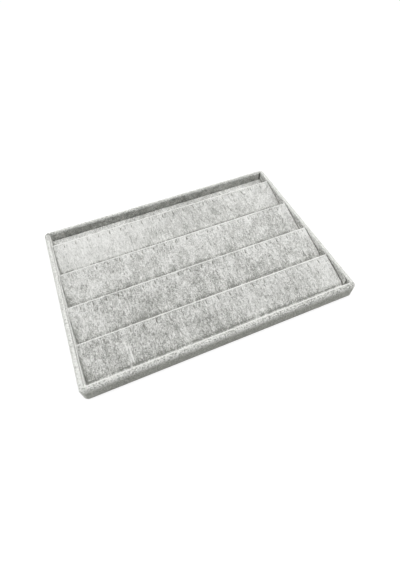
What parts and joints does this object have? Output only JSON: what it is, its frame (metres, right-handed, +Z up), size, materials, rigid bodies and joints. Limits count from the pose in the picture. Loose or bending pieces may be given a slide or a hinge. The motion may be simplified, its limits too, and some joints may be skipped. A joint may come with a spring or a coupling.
{
  "type": "jewelry tray",
  "caption": "Velvet-covered rectangular tray with a lift-out insert of sloped rows, each with a line of small slits under its crest that hold pendants.",
  "frame": {"origin": "on the table under the centre of the tray", "axes": "+X along the rows, +Y towards the rear wall and up the slopes, +Z up"},
  "size_m": [0.35, 0.25, 0.022],
  "materials": {
    "velvet": "crushed velvet, light warm grey, mottled pile",
    "base_flock": "flocked sheet, dark grey",
    "mdf": "fibreboard, raw",
    "greyboard": "grey recycled board",
    "foam": "soft polyurethane foam",
    "steel": "bright wire"
  },
  "bodies": {
    "tray": {"velvet_wrap": "velvet", "front_lining": "velvet", "rear_lining": "velvet", "left_lining": "velvet", "right_lining": "velvet", "bottom_cover": "base_flock", "floor_liner": "base_flock", "base_board": "mdf", "front_rail": "mdf", "rear_rail": "mdf", "left_rail": "mdf", "right_rail": "mdf", "corner_brads": "steel"},
    "step_insert": {"insert_base_card": "greyboard", "rear_strip_velvet": "velvet", "step_card_1": "greyboard", "step_gussets_1": "greyboard", "step_foam_1": "foam", "step_velvet_1": "velvet", "step_card_2": "greyboard", "step_gussets_2": "greyboard", "step_foam_2": "foam", "step_velvet_2": "velvet", "step_card_3": "greyboard", "step_gussets_3": "greyboard", "step_foam_3": "foam", "step_velvet_3": "velvet", "step_card_4": "greyboard", "step_gussets_4": "greyboard", "step_foam_4": "foam", "step_velvet_4": "velvet"}
  },
  "joints": [
    {"name": "insert_lift", "type": "slide", "parent": "tray", "child": "step_insert", "axis": [0, 0, 1], "range_m": [0, 0.04]}
  ]
}
